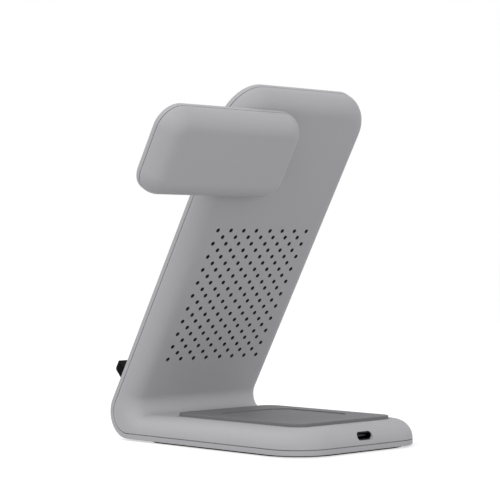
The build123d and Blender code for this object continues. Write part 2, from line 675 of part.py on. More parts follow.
NODES = {
    "front_cover": front_cover(),
    "rear_shell": rear_shell(),
    "phone_ledge": phone_ledge(),
    "phone_pad": phone_pad_block(),
    "earbud_pad": earbud_pad(),
    "foot_sheet": foot_sheet(),
    "arm_front_cover": arm_front_cover(),
    "arm_rear_shell": arm_rear_shell(),
    "watch_puck": watch_puck(),
    "upper_phone_coil": phone_coil(UPPER_COIL_UP),
    "lower_phone_coil": phone_coil(LOWER_COIL_UP),
    "phone_ferrite": phone_ferrite(),
    "coil_carrier": coil_carrier(),
    "earbud_coil": earbud_coil(),
    "earbud_ferrite": earbud_ferrite(),
    "watch_coil": ring(arm_plane(PUCK_X, PUCK_BACK), WATCH_COIL_DIAMETER, WATCH_COIL_BORE, COIL_THICKNESS),
    "watch_magnet": post(arm_plane(PUCK_X, PUCK_BACK), MAGNET_DIAMETER, -COIL_THICKNESS),
    "watch_ferrite": post(arm_plane(PUCK_X, WATCH_COIL_BACK), PUCK_DIAMETER, -FERRITE_THICKNESS),
    "watch_board": watch_board(),
    "watch_lead": watch_lead(),
    "main_board": main_board(),
    "usb_c_socket": usb_c_socket(),
    "usb_c_tongue": usb_c_tongue(),
    "counterweight": counterweight(),
    "coil_ribbon": coil_ribbon(),
    "case_screws": Compound([screw(place, CASE_SCREW_LENGTH) for place in case_screw_places()]),
    "ledge_screws": Compound([screw(place, LEDGE_SCREW_LENGTH) for place in ledge_screw_places()]),
    "arm_screws": Compound([screw(place, ARM_SCREW_LENGTH) for place in arm_screw_places()]),
}

os.makedirs("parts", exist_ok=True)
for name, shape in NODES.items():
    export_step(shape, f"parts/{name}.step")
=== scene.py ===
import math

import bmesh
import bpy
from bpy.props import FloatProperty, FloatVectorProperty, IntProperty, PointerProperty
from mathutils import Matrix, Vector


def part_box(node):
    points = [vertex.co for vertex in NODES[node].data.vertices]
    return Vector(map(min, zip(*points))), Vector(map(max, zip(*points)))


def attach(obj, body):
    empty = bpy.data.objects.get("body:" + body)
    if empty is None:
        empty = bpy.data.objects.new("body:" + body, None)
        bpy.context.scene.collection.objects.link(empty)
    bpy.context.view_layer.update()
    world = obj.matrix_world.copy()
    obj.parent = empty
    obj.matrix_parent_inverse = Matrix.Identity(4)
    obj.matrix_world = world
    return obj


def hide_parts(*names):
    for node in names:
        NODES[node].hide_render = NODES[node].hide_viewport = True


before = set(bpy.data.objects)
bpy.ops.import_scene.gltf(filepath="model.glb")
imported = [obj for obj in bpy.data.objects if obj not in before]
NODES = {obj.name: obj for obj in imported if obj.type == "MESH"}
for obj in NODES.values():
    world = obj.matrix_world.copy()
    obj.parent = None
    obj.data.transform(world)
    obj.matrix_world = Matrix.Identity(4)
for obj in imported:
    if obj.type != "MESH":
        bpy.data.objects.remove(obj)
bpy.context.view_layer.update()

bl_info = {
    "name": "Three in one charger",
    "version": (1, 0, 0),
    "blender": (4, 5, 0),
    "location": "View3D > Sidebar > Charger",
    "description": "Finishes, coil windings and stage for a folded charging stand with a watch arm",
    "category": "Add Mesh",
}

MM = 0.001
WELD = 0.001 * MM
SHARP_EDGE = math.radians(30)
NOISE_MIDDLE = 0.5
SPECKLE_SHARE = 0.5
CLOUDS_PER_METRE = 45.0
SPIRAL_STEPS = 48
WIRE_SIDES = 10
# Sides of the dark sleeves and share of the dark discs that put painted shade in the vents
SHADE_SLEEVE_SIDES = 12
SHADE_DISC_SHARE = 0.7
CONTACT_CORNER = 0.45
CONTACT_CORNER_STEPS = 3
FLOOR_HALF = 12.0
FLOOR_ROUGHNESS = 0.9
SENSOR_WIDTH = 36.0
FAR_CLIP = 100.0

SHELLS = ("front_cover", "rear_shell", "arm_front_cover", "arm_rear_shell")
COILS = ("upper_phone_coil", "lower_phone_coil", "earbud_coil", "watch_coil")
FERRITES = ("phone_ferrite", "earbud_ferrite", "watch_ferrite")
BOARDS = ("main_board", "watch_board")
SCREWS = ("case_screws", "ledge_screws", "arm_screws")
STEELS = ("counterweight", "watch_magnet") + SCREWS
LEADS = ("coil_ribbon", "watch_lead")
PADS = ("earbud_pad", "phone_pad")
RUBBERS = ("phone_ledge", "foot_sheet")
SURFACE_OUTPUTS = (("Colour", "Color"), ("Roughness", "Float"), ("Height", "Float"))
LAMPS = ("side_lamp", "low_lamp", "front_lamp")


def tint(name, description, red, green, blue):
    """Colour property from screen values of 0 to 255."""
    linear = [c / 255 / 12.92 if c <= 10 else ((c / 255 + 0.055) / 1.055) ** 2.4
              for c in (red, green, blue)]
    return FloatVectorProperty(name=name, description=description, subtype="COLOR",
                               size=3, min=0, max=1, default=linear)


def length(name, description, millimetres):
    """Length property from millimetres."""
    return FloatProperty(name=name, description=description, unit="LENGTH", min=0,
                         precision=5, default=millimetres * MM)


def spot(name, description, x, y, z):
    """Place property in metres."""
    return FloatVectorProperty(name=name, description=description, subtype="TRANSLATION",
                               size=3, precision=5, default=(x, y, z))


def watts(name, description, power):
    """Lamp power property."""
    return FloatProperty(name=name, description=description, unit="POWER", min=0, default=power)


class ChargerColours(bpy.types.PropertyGroup):
    """Colours of the finishes"""
    housing: tint("Housing", "Moulded shells of the stand and the arm", 184, 183, 186)
    pad: tint("Pads", "Soft pads on the base and the phone face", 117, 116, 119)
    # Black rubber, made near-black so that the thin foot line also carries painted contact shade under the
    # base
    rubber_and_shade: tint("Rubber", "Phone ledge and foot sheet", 8, 8, 8)
    # Near-black colour of the sleeves and discs in the vents: painted shade for the dark inside of the holes
    vent_shade: tint("Vent liners", "Sleeves and gauze in the vents", 18, 18, 19)
    puck: tint("Puck", "Dished watch charging face", 206, 206, 209)
    copper: tint("Copper", "Stranded wire of the coils", 205, 128, 84)
    ferrite: tint("Ferrite", "Sheets behind the coils", 62, 62, 66)
    carrier: tint("Carrier", "Plate that holds the phone coils", 38, 38, 41)
    board: tint("Board", "Lacquer of the circuit boards", 26, 92, 58)
    steel: tint("Steel", "Weight, screws and magnet", 190, 190, 194)
    # Dark metal of the inlet's shell, darker than bare steel so that the opening shows painted shade in place
    # of the shade inside it
    socket: tint("Socket", "Dark plated shell of the inlet", 52, 52, 56)
    lead: tint("Lead", "Film of the flat leads", 178, 108, 40)
    tongue: tint("Tongue", "Moulding inside the inlet", 26, 26, 28)
    gold: tint("Gold", "Contacts on the tongue", 230, 188, 98)


class ChargerSizes(bpy.types.PropertyGroup):
    """Sizes of the small pieces and of the surface grain"""
    panel_lean: FloatProperty(name="Panel lean", description="Angle of the panel above the table",
                              subtype="ANGLE", default=math.radians(60))
    wire_pitch: length("Wire pitch", "Distance between turns of a winding", 1.25)
    wire_gap: length("Wire gap", "Clear space between turns of a winding", 0.08)
    contact_count: IntProperty(name="Contacts", description="Contacts on each face of the tongue",
                               min=1, default=12)
    contact_pitch: length("Contact pitch", "Distance between contacts", 0.5)
    contact_width: length("Contact width", "Width of one contact", 0.28)
    contact_length: length("Contact length", "Length of one contact", 3.6)
    contact_rise: length("Contact rise", "Height of a contact above the tongue", 0.04)
    vent_first: spot("First vents", "Middle of the lowest row of vents", 0.0, -0.03409, 0.03518)
    vent_rows: IntProperty(name="Vent rows", description="Rows of vents, wide and narrow in turn",
                           min=1, default=21)
    vents_per_half: IntProperty(name="Vents per half row", description="Vents on each half of a wide row",
                                min=1, default=4)
    vent_pitch: length("Vent pitch", "Distance between vents in a row", 7.5)
    vent_row_pitch: length("Vent row pitch", "Distance between rows of vents", 3.214)
    vent_spread: length("Vent spread", "Extra distance of a wide row's vents from the middle line", 0.36)
    # Sizes of the painted shade in the vents: dark sleeves and discs that black out each hole
    shade_sleeve_radius: length("Liner radius", "Outer radius of the dark liner in a vent", 0.985)
    shade_sleeve_wall: length("Liner wall", "Wall of the dark liner in a vent", 0.16)
    shade_sleeve_depth: length("Liner depth", "Length of the dark liner in a vent", 1.7)
    shade_sleeve_sink: length("Liner sink", "Depth of the liner's rim below the panel's back", 0.12)
    shell_grain: length("Shell grain", "Size of the moulded grain on the shells", 0.45)
    pad_grain: length("Pad grain", "Size of the grain on the soft pads", 0.7)


class ChargerStage(bpy.types.PropertyGroup):
    """Camera, lamps and floor"""
    camera_place: spot("Camera place", "Where the camera stands", 0.5349, 0.54337, 0.0814)
    camera_turn: FloatVectorProperty(name="Camera turn", description="Tilt, roll and heading",
                                     subtype="EULER", size=3,
                                     default=[math.radians(a) for a in (90.0926, 0.0959, 135.984)])
    lens: FloatProperty(name="Lens", description="Focal length on a 36 mm sensor",
                        subtype="DISTANCE_CAMERA", default=127.44)
    sky: FloatProperty(name="Sky", description="Light of the white surround", min=0, default=0.71)
    lamp_size: length("Lamp size", "Width of each soft lamp", 500)
    lamp_aim: spot("Lamp aim", "Point that the lamps face", 0.0, 0.0, 0.06)
    side_lamp: watts("Side lamp", "Power of the lamp at the arm's side", 2.9)
    side_lamp_place: spot("Side lamp place", "Where the lamp at the arm's side hangs", 0.85, 0.4, 0.75)
    low_lamp: watts("Low lamp", "Power of the lamp low behind the panel", 0.9)
    low_lamp_place: spot("Low lamp place", "Where the lamp behind the panel stands", 0.0, 1.2, 0.2)
    front_lamp: watts("Front lamp", "Power of the lamp before the phone face", 2.8)
    front_lamp_place: spot("Front lamp place", "Where the lamp before the phone face hangs", 0.2, -0.75, 0.9)
    floor: tint("Floor", "Pale table under the stand", 198, 198, 199)
    floor_gap: length("Floor gap", "Clear space between the table and the foot sheet", 0.05)


def add(tree, kind, inputs=None, **settings):
    """New node with its settings, and its inputs set to values or linked to sockets."""
    made = tree.nodes.new(kind)
    for key, value in settings.items():
        setattr(made, key, value)
    for key, value in (inputs or {}).items():
        if isinstance(value, bpy.types.NodeSocket):
            tree.links.new(value, made.inputs[key])
        else:
            made.inputs[key].default_value = value
    return made


def maths(tree, operation, first, second):
    """Output of a Math node on two values or sockets."""
    return add(tree, "ShaderNodeMath", {0: first, 1: second}, operation=operation).outputs[0]


def new_group(name, kind, inputs, outputs):
    """Empty node group with named sockets, and the sockets of its two ends."""
    tree = bpy.data.node_groups.new(name, kind)
    for label, socket, default in inputs:
        made = tree.interface.new_socket(label, in_out="INPUT", socket_type="NodeSocket" + socket)
        if default is not None:
            made.default_value = default
    for label, socket in outputs:
        tree.interface.new_socket(label, in_out="OUTPUT", socket_type="NodeSocket" + socket)
    return tree, tree.nodes.new("NodeGroupInput").outputs, tree.nodes.new("NodeGroupOutput").inputs


def link_surface(tree, given, out, mottle, swing, height):
    """Ends a surface group: mottle shades the colour, swing the roughness, height the relief."""
    shade = maths(tree, "ADD", maths(tree, "MULTIPLY", mottle, given["Shade Spread"]), 1.0)
    colour = add(tree, "ShaderNodeVectorMath", {0: given["Colour"], "Scale": shade}, operation="SCALE")
    spread = maths(tree, "MULTIPLY", swing, given["Roughness Spread"])
    tree.links.new(colour.outputs[0], out["Colour"])
    tree.links.new(maths(tree, "ADD", spread, given["Roughness"]), out["Roughness"])
    tree.links.new(height, out["Height"])


def skin_group():
    """Moulded skin: a faint cloud of shade and gloss over a fine grain."""
    found = bpy.data.node_groups.get("moulded_skin")
    if found:
        return found
    tree, given, out = new_group(
        "moulded_skin", "ShaderNodeTree",
        [("Colour", "Color", (0.5, 0.5, 0.5, 1)), ("Shade Spread", "Float", 0.04),
         ("Roughness", "Float", 0.5), ("Roughness Spread", "Float", 0.05),
         ("Grain Size", "Float", 0.0005)],
        SURFACE_OUTPUTS)
    place = add(tree, "ShaderNodeTexCoord").outputs["Object"]
    cloud = add(tree, "ShaderNodeTexNoise",
                {"Vector": place, "Scale": CLOUDS_PER_METRE, "Detail": 3.0}).outputs[0]
    per_metre = maths(tree, "DIVIDE", 1.0, given["Grain Size"])
    grain = add(tree, "ShaderNodeTexNoise",
                {"Vector": place, "Scale": per_metre, "Detail": 2.0, "Roughness": 0.6}).outputs[0]
    swing = maths(tree, "SUBTRACT", cloud, NOISE_MIDDLE)
    speckle = maths(tree, "MULTIPLY", maths(tree, "SUBTRACT", grain, NOISE_MIDDLE), SPECKLE_SHARE)
    link_surface(tree, given, out, maths(tree, "ADD", swing, speckle), swing, grain)
    return tree


def brushed_group():
    """Drawn lines: noise stretched along one axis, for metal and stranded wire."""
    found = bpy.data.node_groups.get("drawn_lines")
    if found:
        return found
    tree, given, out = new_group(
        "drawn_lines", "ShaderNodeTree",
        [("Colour", "Color", (0.5, 0.5, 0.5, 1)), ("Shade Spread", "Float", 0.1),
         ("Roughness", "Float", 0.35), ("Roughness Spread", "Float", 0.2),
         ("Stretch", "Vector", (300.0, 6000.0, 6000.0))],
        SURFACE_OUTPUTS)
    place = add(tree, "ShaderNodeTexCoord").outputs["Object"]
    drawn = add(tree, "ShaderNodeVectorMath", {0: place, 1: given["Stretch"]}, operation="MULTIPLY")
    lines = add(tree, "ShaderNodeTexNoise",
                {"Vector": drawn.outputs[0], "Scale": 1.0, "Detail": 3.0}).outputs[0]
    swing = maths(tree, "SUBTRACT", lines, NOISE_MIDDLE)
    link_surface(tree, given, out, swing, swing, lines)
    return tree


def finish_material(name, group, colour, bump, depth, shader_values=None, **values):
    """Material whose colour, roughness and bump come from a surface group."""
    material = bpy.data.materials.new(name)
    material.use_nodes = True
    tree = material.node_tree
    shader = tree.nodes["Principled BSDF"]
    inputs = {"Colour": (*colour, 1)}
    inputs.update({key.replace("_", " ").title(): value for key, value in values.items()})
    surface = add(tree, "ShaderNodeGroup", inputs, node_tree=group).outputs
    relief = add(tree, "ShaderNodeBump", {"Strength": bump, "Distance": depth, "Height": surface["Height"]})
    tree.links.new(surface["Colour"], shader.inputs["Base Color"])
    tree.links.new(surface["Roughness"], shader.inputs["Roughness"])
    tree.links.new(relief.outputs[0], shader.inputs["Normal"])
    for key, value in (shader_values or {}).items():
        shader.inputs[key].default_value = value
    return material


def dress(nodes, material):
    """Gives CAD nodes a finish."""
    for name in nodes:
        slots = NODES[name].data.materials
        slots.clear()
        slots.append(material)


def merged_piece(name, node, material):
    """Piece with a node's own form, its triangles joined and its round faces shaded evenly."""
    shape = bmesh.new()
    shape.from_mesh(NODES[node].data)
    bmesh.ops.remove_doubles(shape, verts=shape.verts, dist=WELD)
    mesh = bpy.data.meshes.new(name)
    shape.to_mesh(mesh)
    shape.free()
    normals = mesh.attributes.get("custom_normal")
    if normals:
        mesh.attributes.remove(normals)
    mesh.shade_smooth()
    mesh.set_sharp_from_angle(angle=SHARP_EDGE)
    mesh.materials.append(material)
    piece = bpy.data.objects.new(name, mesh)
    bpy.context.scene.collection.objects.link(piece)
    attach(piece, "root")
    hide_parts(node)
    return piece


def node_piece(name, tree, values, place=Matrix.Identity(4)):
    """Plain mesh from a Geometry Nodes tree, put in place in its mesh and riding on the stand."""
    holder = bpy.data.objects.new(name + "_nodes", bpy.data.meshes.new(name + "_nodes"))
    bpy.context.scene.collection.objects.link(holder)
    modifier = holder.modifiers.new("nodes", "NODES")
    modifier.node_group = tree
    for socket in tree.interface.items_tree:
        if socket.in_out == "INPUT" and socket.name in values:
            modifier[socket.identifier] = values[socket.name]
    graph = bpy.context.evaluated_depsgraph_get()
    mesh = bpy.data.meshes.new_from_object(holder.evaluated_get(graph))
    holder.modifiers.remove(modifier)
    bpy.data.objects.remove(holder)
    mesh.name = name
    mesh.transform(place)
    if not mesh.polygons:
        raise RuntimeError(name + " came out empty")
    piece = bpy.data.objects.new(name, mesh)
    bpy.context.scene.collection.objects.link(piece)
    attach(piece, "root")
    return piece


def winding_tree():
    """Flat spiral of wire between two radii."""
    found = bpy.data.node_groups.get("flat_winding")
    if found:
        return found
    tree, given, out = new_group(
        "flat_winding", "GeometryNodeTree",
        [("Inner Radius", "Float", 0.01), ("Outer Radius", "Float", 0.02), ("Turns", "Float", 8.0),
         ("Wire Width", "Float", 0.001), ("Wire Height", "Float", 0.001), ("Wire Finish", "Material", None)],
        [("Geometry", "Geometry")])
    route = add(tree, "GeometryNodeCurveSpiral",
                {"Resolution": SPIRAL_STEPS, "Rotations": given["Turns"], "Height": 0.0,
                 "Start Radius": given["Inner Radius"], "End Radius": given["Outer Radius"]})
    ring = add(tree, "GeometryNodeCurvePrimitiveCircle", {"Resolution": WIRE_SIDES, "Radius": 0.5})
    size = add(tree, "ShaderNodeCombineXYZ", {"X": given["Wire Width"], "Y": given["Wire Height"], "Z": 1.0})
    wire = add(tree, "GeometryNodeTransform", {"Geometry": ring.outputs[0], "Scale": size.outputs[0]})
    tube = add(tree, "GeometryNodeCurveToMesh",
               {"Curve": route.outputs[0], "Profile Curve": wire.outputs[0], "Fill Caps": True})
    smooth = add(tree, "GeometryNodeSetShadeSmooth", {"Geometry": tube.outputs[0]})
    plain = add(tree, "GeometryNodeRealizeInstances", {"Geometry": smooth.outputs[0]})
    done = add(tree, "GeometryNodeSetMaterial",
               {"Geometry": plain.outputs[0], "Material": given["Wire Finish"]})
    tree.links.new(done.outputs[0], out["Geometry"])
    return tree


def contact_tree():
    """Row of round-ended contact strips along X."""
    found = bpy.data.node_groups.get("contact_row")
    if found:
        return found
    tree, given, out = new_group(
        "contact_row", "GeometryNodeTree",
        [("Contacts", "Int", 12), ("Pitch", "Float", 0.0005), ("Width", "Float", 0.0003),
         ("Length", "Float", 0.003), ("Rise", "Float", 0.0001), ("Contact Finish", "Material", None)],
        [("Geometry", "Geometry")])
    outline = add(tree, "GeometryNodeCurvePrimitiveQuadrilateral",
                  {"Width": given["Width"], "Height": given["Length"]}, mode="RECTANGLE")
    corner = maths(tree, "MULTIPLY", given["Width"], CONTACT_CORNER)
    rounded = add(tree, "GeometryNodeFilletCurve",
                  {"Curve": outline.outputs[0], "Radius": corner, "Count": CONTACT_CORNER_STEPS,
                   "Limit Radius": True}, mode="POLY")
    face = add(tree, "GeometryNodeFillCurve", {"Curve": rounded.outputs[0]}, mode="NGONS")
    lift = add(tree, "ShaderNodeCombineXYZ", {"Z": given["Rise"]})
    strip = add(tree, "GeometryNodeExtrudeMesh",
                {"Mesh": face.outputs[0], "Offset": lift.outputs[0], "Offset Scale": 1.0,
                 "Individual": False})
    under = add(tree, "GeometryNodeFlipFaces", {"Mesh": face.outputs[0]})
    whole = add(tree, "GeometryNodeJoinGeometry")
    tree.links.new(strip.outputs["Mesh"], whole.inputs[0])
    tree.links.new(under.outputs[0], whole.inputs[0])
    closed = add(tree, "GeometryNodeMergeByDistance", {"Geometry": whole.outputs[0], "Distance": WELD})
    reach = maths(tree, "MULTIPLY", maths(tree, "SUBTRACT", given["Contacts"], 1.0), -0.5)
    start = add(tree, "ShaderNodeCombineXYZ", {"X": maths(tree, "MULTIPLY", reach, given["Pitch"])})
    step = add(tree, "ShaderNodeCombineXYZ", {"X": given["Pitch"]})
    row = add(tree, "GeometryNodeMeshLine",
              {"Count": given["Contacts"], "Start Location": start.outputs[0], "Offset": step.outputs[0]},
              mode="OFFSET")
    spread = add(tree, "GeometryNodeInstanceOnPoints",
                 {"Points": row.outputs[0], "Instance": closed.outputs[0]})
    plain = add(tree, "GeometryNodeRealizeInstances", {"Geometry": spread.outputs[0]})
    done = add(tree, "GeometryNodeSetMaterial",
               {"Geometry": plain.outputs[0], "Material": given["Contact Finish"]})
    tree.links.new(done.outputs[0], out["Geometry"])
    return tree


def vent_tree():
    """Vents in rows that take turns, each with a short dark sleeve and a dark disc, painted shade that blacks
    out the hole.
    """
    found = bpy.data.node_groups.get("vent_liners")
    if found:
        return found
    tree, given, out = new_group(
        "vent_liners", "GeometryNodeTree",
        [("Rows", "Int", 21), ("Half Row", "Int", 4), ("Pitch", "Float", 0.0075),
         ("Row Pitch", "Float", 0.0032), ("Spread", "Float", 0.0004), ("Radius", "Float", 0.001),
         ("Wall", "Float", 0.0002), ("Depth", "Float", 0.0017), ("Liner Finish", "Material", None)],
        [("Geometry", "Geometry")])

    def line(count, start, step, upward=False):
        """Points in a straight row, or in a column."""
        key = "Y" if upward else "X"
        first = add(tree, "ShaderNodeCombineXYZ", {key: start}).outputs[0]
        offset = add(tree, "ShaderNodeCombineXYZ", {key: step}).outputs[0]
        return add(tree, "GeometryNodeMeshLine", {"Count": count, "Start Location": first, "Offset": offset},
                   mode="OFFSET").outputs[0]

    def spread(points, instance):
        """Copies on points, made real."""
        copies = add(tree, "GeometryNodeInstanceOnPoints", {"Points": points, "Instance": instance})
        return add(tree, "GeometryNodeRealizeInstances", {"Geometry": copies.outputs[0]}).outputs[0]

    def together(*parts):
        """One geometry from several."""
        joined = add(tree, "GeometryNodeJoinGeometry")
        for part in parts:
            tree.links.new(part, joined.inputs[0])
        return joined.outputs[0]

    pitch, back = given["Pitch"], maths(tree, "MULTIPLY", given["Pitch"], -1.0)
    first = maths(tree, "ADD", maths(tree, "MULTIPLY", pitch, 0.5), given["Spread"])
    wide = together(line(given["Half Row"], first, pitch),
                    line(given["Half Row"], maths(tree, "MULTIPLY", first, -1.0), back))
    narrow_half = maths(tree, "SUBTRACT", given["Half Row"], 1.0)
    narrow_count = maths(tree, "ADD", maths(tree, "MULTIPLY", narrow_half, 2.0), 1.0)
    narrow = line(narrow_count, maths(tree, "MULTIPLY", narrow_half, back), pitch)
    double = maths(tree, "MULTIPLY", given["Row Pitch"], 2.0)
    wide_rows = maths(tree, "CEIL", maths(tree, "MULTIPLY", given["Rows"], 0.5), 0.0)
    narrow_rows = maths(tree, "FLOOR", maths(tree, "MULTIPLY", given["Rows"], 0.5), 0.0)
    spots = together(spread(line(wide_rows, 0.0, double, True), wide),
                     spread(line(narrow_rows, given["Row Pitch"], double, True), narrow))

    middle = maths(tree, "SUBTRACT", given["Radius"], maths(tree, "MULTIPLY", given["Wall"], 0.5))
    path = add(tree, "GeometryNodeCurvePrimitiveCircle", {"Resolution": SHADE_SLEEVE_SIDES, "Radius": middle})
    wall = add(tree, "GeometryNodeCurvePrimitiveQuadrilateral",
               {"Width": given["Wall"], "Height": given["Depth"]}, mode="RECTANGLE")
    sleeve = add(tree, "GeometryNodeCurveToMesh",
                 {"Curve": path.outputs[0], "Profile Curve": wall.outputs[0]}).outputs[0]
    thin = maths(tree, "MULTIPLY", given["Wall"], SHADE_DISC_SHARE)
    # Painted shade: a dark disc closes each sleeve so no light shows through the vent
    shade_disc = add(tree, "GeometryNodeMeshCylinder",
                {"Vertices": SHADE_SLEEVE_SIDES, "Radius": middle, "Depth": thin}).outputs[0]
    shade_sleeves = spread(spots, together(sleeve, shade_disc))
    done = add(tree, "GeometryNodeSetMaterial", {"Geometry": shade_sleeves, "Material": given["Liner Finish"]})
    tree.links.new(done.outputs[0], out["Geometry"])
    return tree


class CHARGER_OT_shells(bpy.types.Operator):
    """Moulded finish on the shells of the stand and the arm"""
    bl_idname = "charger.shells"
    bl_label = "Shells"

    def execute(self, context):
        colours, sizes = context.scene.charger_colours, context.scene.charger_sizes
        grey = finish_material(
            "moulded_grey", skin_group(), colours.housing, bump=0.25, depth=0.04 * MM,
            roughness=0.58, roughness_spread=0.1, shade_spread=0.05, grain_size=sizes.shell_grain,
            shader_values={"Specular IOR Level": 0.25})
        dress(SHELLS, grey)
        return {"FINISHED"}


class CHARGER_OT_vents(bpy.types.Operator):
    """Painted shade in the vents of the panel's back: dark sleeves and discs"""
    bl_idname = "charger.vents"
    bl_label = "Vent liners"

    def execute(self, context):
        colours, sizes = context.scene.charger_colours, context.scene.charger_sizes
        # Painted shade: near-black sleeves and discs fill the vents so the holes read dark
        black = finish_material(
            "vent_gauze", skin_group(), colours.vent_shade, bump=0.5, depth=0.1 * MM,
            roughness=0.8, roughness_spread=0.1, shade_spread=0.3, grain_size=sizes.shell_grain)
        lean = Matrix.Rotation(sizes.panel_lean, 4, "X")
        inward = Matrix.Translation((0, 0, sizes.shade_sleeve_sink + sizes.shade_sleeve_depth / 2))
        place = Matrix.Translation(sizes.vent_first) @ lean @ inward
        piece = node_piece(
            "vent_liners", vent_tree(),
            {"Rows": sizes.vent_rows, "Half Row": sizes.vents_per_half, "Pitch": sizes.vent_pitch,
             "Row Pitch": sizes.vent_row_pitch, "Spread": sizes.vent_spread, "Radius": sizes.shade_sleeve_radius,
             "Wall": sizes.shade_sleeve_wall, "Depth": sizes.shade_sleeve_depth, "Liner Finish": black}, place)
        return {"FINISHED"}


class CHARGER_OT_soft_parts(bpy.types.Operator):
    """Rubber finish on the ledge and the foot sheet, silicone on the two pads"""
    bl_idname = "charger.soft_parts"
    bl_label = "Pads and rubber"

    def execute(self, context):
        colours, sizes = context.scene.charger_colours, context.scene.charger_sizes
        silicone = finish_material(
            "pad_silicone", skin_group(), colours.pad, bump=0.35, depth=0.08 * MM,
            roughness=0.62, roughness_spread=0.12, shade_spread=0.08, grain_size=sizes.pad_grain)
        # Black rubber, its near-black colour partly painted contact shade along the foot under the base
        rubber_and_shade = finish_material(
            "black_rubber", skin_group(), colours.rubber_and_shade, bump=0.4, depth=0.08 * MM,
            roughness=0.6, roughness_spread=0.15, shade_spread=0.2, grain_size=sizes.pad_grain,
            shader_values={"Specular IOR Level": 0.05})
        dress(PADS, silicone)
        dress(RUBBERS, rubber_and_shade)
        return {"FINISHED"}


class CHARGER_OT_puck(bpy.types.Operator):
    """Dished watch face with a glossy finish"""
    bl_idname = "charger.puck"
    bl_label = "Watch puck"

    def execute(self, context):
        colours, sizes = context.scene.charger_colours, context.scene.charger_sizes
        white = finish_material(
            "puck_white", skin_group(), colours.puck, bump=0.1, depth=0.02 * MM,
            roughness=0.22, roughness_spread=0.06, shade_spread=0.02, grain_size=sizes.shell_grain,
            shader_values={"Coat Weight": 0.3, "Coat Roughness": 0.12})
        dress(("watch_puck",), white)
        # A sliver triangle in the middle of the dish shows as a dark dot unless it is merged.
        merged_piece("puck_face", "watch_puck", white)
        return {"FINISHED"}


class CHARGER_OT_windings(bpy.types.Operator):
    """Flat spirals of stranded wire in place of the coil rings"""
    bl_idname = "charger.windings"
    bl_label = "Coil windings"

    def execute(self, context):
        colours, sizes = context.scene.charger_colours, context.scene.charger_sizes
        copper = finish_material(
            "stranded_copper", brushed_group(), colours.copper, bump=0.5, depth=0.05 * MM,
            roughness=0.38, roughness_spread=0.3, shade_spread=0.5, stretch=(2500.0, 2500.0, 2500.0),
            shader_values={"Metallic": 0.8})
        dress(COILS, copper)
        for name in COILS:
            low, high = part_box(name)
            centre = (low + high) / 2
            lean = 0.0 if name == "earbud_coil" else sizes.panel_lean
            turn = Matrix.Rotation(lean, 4, "X")
            flat = [turn.inverted() @ (vertex.co - centre) for vertex in NODES[name].data.vertices]
            reach = [point.xy.length for point in flat]
            inner, outer = min(reach), max(reach)
            height = max(point.z for point in flat) - min(point.z for point in flat)
            turns = (outer - inner) // sizes.wire_pitch
            pitch = (outer - inner) / (turns + 1)
            piece = node_piece(
                name.replace("_coil", "_winding"), winding_tree(),
                {"Inner Radius": inner + pitch / 2, "Outer Radius": outer - pitch / 2, "Turns": turns,
                 "Wire Width": pitch - sizes.wire_gap, "Wire Height": height, "Wire Finish": copper},
                Matrix.Translation(centre) @ turn)
            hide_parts(name)
        return {"FINISHED"}


class CHARGER_OT_charging_stack(bpy.types.Operator):
    """Finishes of the ferrite sheets and the coil carrier"""
    bl_idname = "charger.charging_stack"
    bl_label = "Ferrites and carrier"

    def execute(self, context):
        colours, sizes = context.scene.charger_colours, context.scene.charger_sizes
        ferrite = finish_material(
            "ferrite_sheet", skin_group(), colours.ferrite, bump=0.4, depth=0.06 * MM,
            roughness=0.5, roughness_spread=0.2, shade_spread=0.3, grain_size=sizes.shell_grain,
            shader_values={"Metallic": 0.2})
        carrier = finish_material(
            "carrier_black", skin_group(), colours.carrier, bump=0.3, depth=0.05 * MM,
            roughness=0.6, roughness_spread=0.1, shade_spread=0.1, grain_size=sizes.shell_grain)
        dress(FERRITES, ferrite)
        dress(("coil_carrier",), carrier)
        return {"FINISHED"}


class CHARGER_OT_boards(bpy.types.Operator):
    """Lacquer on the circuit boards and film on the flat leads"""
    bl_idname = "charger.boards"
    bl_label = "Boards and leads"

    def execute(self, context):
        colours, sizes = context.scene.charger_colours, context.scene.charger_sizes
        lacquer = finish_material(
            "board_lacquer", skin_group(), colours.board, bump=0.3, depth=0.04 * MM,
            roughness=0.35, roughness_spread=0.2, shade_spread=0.25, grain_size=sizes.pad_grain)
        film = finish_material(
            "lead_film", brushed_group(), colours.lead, bump=0.3, depth=0.04 * MM,
            roughness=0.4, roughness_spread=0.15, shade_spread=0.5, stretch=(1200.0, 40.0, 40.0))
        dress(BOARDS, lacquer)
        dress(LEADS, film)
        return {"FINISHED"}


class CHARGER_OT_metal_parts(bpy.types.Operator):
    """Drawn steel on the weight, the screws and the magnet, and dark plating on the inlet's shell, darkened
    past bare steel as painted shade for the inlet's opening
    """
    bl_idname = "charger.metal_parts"
    bl_label = "Metal parts"

    def execute(self, context):
        colours = context.scene.charger_colours
        steel = finish_material(
            "drawn_steel", brushed_group(), colours.steel, bump=0.2, depth=0.03 * MM,
            roughness=0.34, roughness_spread=0.2, shade_spread=0.15, stretch=(300.0, 5000.0, 5000.0),
            shader_values={"Metallic": 1.0})
        # Metal plating, its dark colour partly painted shade for the inside of the inlet
        plating_and_shade = finish_material(
            "plated_shell", brushed_group(), colours.socket, bump=0.2, depth=0.02 * MM,
            roughness=0.36, roughness_spread=0.2, shade_spread=0.15, stretch=(5000.0, 400.0, 5000.0),
            shader_values={"Metallic": 1.0})
        dress(STEELS, steel)
        dress(("usb_c_socket",), plating_and_shade)
        return {"FINISHED"}


